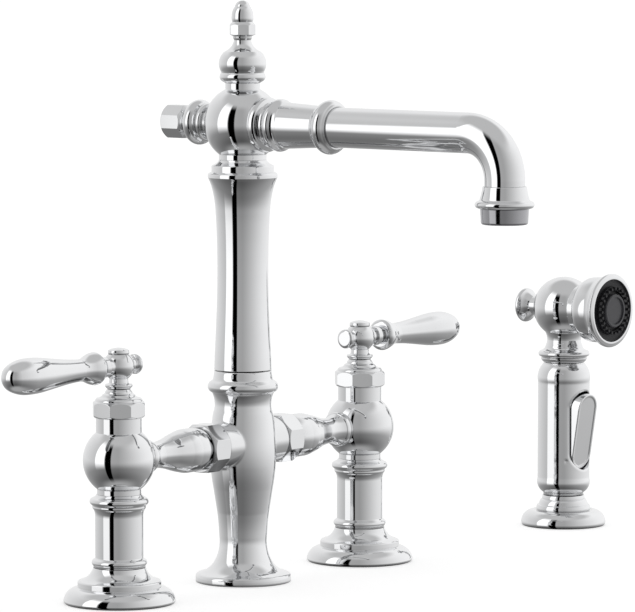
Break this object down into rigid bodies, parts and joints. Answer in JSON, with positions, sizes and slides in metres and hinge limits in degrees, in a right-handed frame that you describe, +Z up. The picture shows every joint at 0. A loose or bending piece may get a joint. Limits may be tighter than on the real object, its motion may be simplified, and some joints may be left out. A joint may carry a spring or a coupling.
{
  "type": "bridge kitchen faucet",
  "caption": "Deck-mounted bridge kitchen faucet with a tall vase-shaped post, swivelling level spout, lever valves joined by a bridge, and a separate side spray in its holder.",
  "frame": {"origin": "on the deck, on the axis of the centre post", "axes": "+X along the bridge from the post to the right valve and on to the side spray, +Z up, and the spout points to -Y at rest"},
  "size_m": [0.5088, 0.2439, 0.3152],
  "materials": {
    "chrome": "polished",
    "aerator": "satin",
    "brass": "machined",
    "steel": "machined",
    "rubber": "matte",
    "face": "matte",
    "face_centre": "semi-gloss"
  },
  "bodies": {
    "base": {"post_body": "chrome", "post_gasket": "rubber", "diverter_cage": "brass", "left_union_nut": "chrome", "right_union_nut": "chrome", "union_washers": "rubber", "left_bridge_arm": "chrome", "right_bridge_arm": "chrome", "left_flange": "chrome", "right_flange": "chrome", "valve_gaskets": "rubber", "left_column": "chrome", "right_column": "chrome", "left_valve_body": "chrome", "right_valve_body": "chrome", "seat_washers": "rubber", "left_cartridge": "brass", "right_cartridge": "brass", "left_bonnet_nut": "chrome", "right_bonnet_nut": "chrome", "spray_holder": "chrome", "spray_gasket": "rubber"},
    "spout": {"swivel_spigot": "brass", "spigot_seals": "rubber", "spout_column": "chrome", "tee_body": "chrome", "finial_bulb": "chrome", "finial_nut": "chrome", "rear_collar": "chrome", "rear_plug": "chrome", "spout_collar": "chrome", "spout_tube": "chrome", "spout_end": "chrome", "aerator_cap": "aerator", "aerator_insert": "aerator", "aerator_washer": "rubber"},
    "diverter": {"diverter_poppet": "brass"},
    "left_handle": {"left_stem": "brass", "left_hub": "chrome", "left_hub_cap": "chrome", "left_hub_knob": "chrome", "left_lever": "chrome", "left_handle_screw": "steel"},
    "right_handle": {"right_stem": "brass", "right_hub": "chrome", "right_hub_cap": "chrome", "right_hub_knob": "chrome", "right_lever": "chrome", "right_handle_screw": "steel"},
    "wand": {"spray_handle": "chrome", "spray_head": "chrome", "spray_knob": "chrome", "spray_bell": "chrome", "spray_face": "face", "nozzle_ring": "face", "spray_centre": "face_centre", "trigger_pin": "steel", "hose_inlet": "brass"},
    "trigger": {"trigger": "chrome"},
    "valve_pin": {"spray_valve_pin": "steel"}
  },
  "joints": [
    {"name": "spout_swivel", "type": "hinge", "parent": "base", "child": "spout", "pos_m": [0, 0, 0.115], "axis": [0, 0, 1], "continuous": true},
    {"name": "diverter_lift", "type": "slide", "parent": "base", "child": "diverter", "axis": [0, 0, 1], "range_m": [0, 0.003]},
    {"name": "left_handle_turn", "type": "hinge", "parent": "base", "child": "left_handle", "pos_m": [-0.1016, 0, 0.113], "axis": [0, 0, 1], "range_deg": [0, 90]},
    {"name": "right_handle_turn", "type": "hinge", "parent": "base", "child": "right_handle", "pos_m": [0.1016, 0, 0.113], "axis": [0, 0, 1], "range_deg": [-90, 0]},
    {"name": "wand_lift", "type": "slide", "parent": "base", "child": "wand", "axis": [0, 0, 1], "range_m": [0, 0.12]},
    {"name": "trigger_press", "type": "hinge", "parent": "wand", "child": "trigger", "pos_m": [0.2953, -0.009, 0.039], "axis": [-1, 0, 0], "range_deg": [0, 8.5], "stiffness_Nm_per_rad": 0.4, "springref_deg": -5.73},
    {"name": "valve_pin_slide", "type": "slide", "parent": "wand", "child": "valve_pin", "axis": [0, 1, 0], "range_m": [0, 0.0035]}
  ],
  "couplings": [
    {"joint": "valve_pin_slide", "follows": "trigger_press", "m_per_rad": 0.023}
  ]
}
